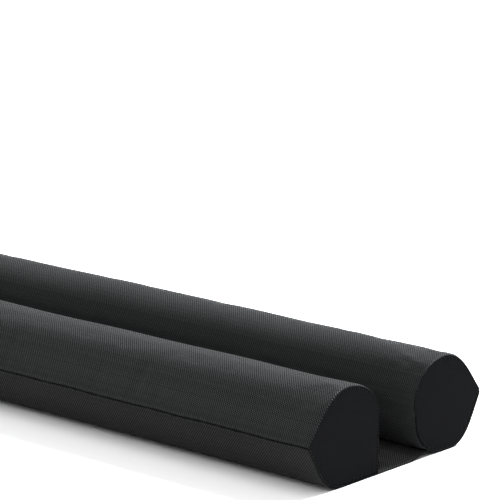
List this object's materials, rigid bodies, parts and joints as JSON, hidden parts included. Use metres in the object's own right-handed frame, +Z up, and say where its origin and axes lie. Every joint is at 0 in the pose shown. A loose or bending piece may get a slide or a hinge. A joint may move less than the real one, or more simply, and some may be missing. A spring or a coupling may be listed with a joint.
{
  "type": "draught excluder",
  "caption": "Draught excluder for the foot of a door: two filled fabric tubes of teardrop section lie either side of the door leaf, joined under it by a flat web of cloth.",
  "frame": {"origin": "on the floor under the middle of the excluder", "axes": "X runs along the door, Y across it from the front tube to the back tube, Z is up"},
  "size_m": [0.9, 0.187, 0.07],
  "materials": {
    "tube_cloth": "dark grey woven polyester with a soft sheen",
    "base_cloth": "dark grey woven polyester, matt",
    "end_cloth": "near black plain cloth, matt"
  },
  "bodies": {
    "root": {"base_cloth": "base_cloth", "tube_front": "tube_cloth", "tube_back": "tube_cloth", "end_front_left": "end_cloth", "end_front_right": "end_cloth", "end_back_left": "end_cloth", "end_back_right": "end_cloth"}
  },
  "joints": []
}
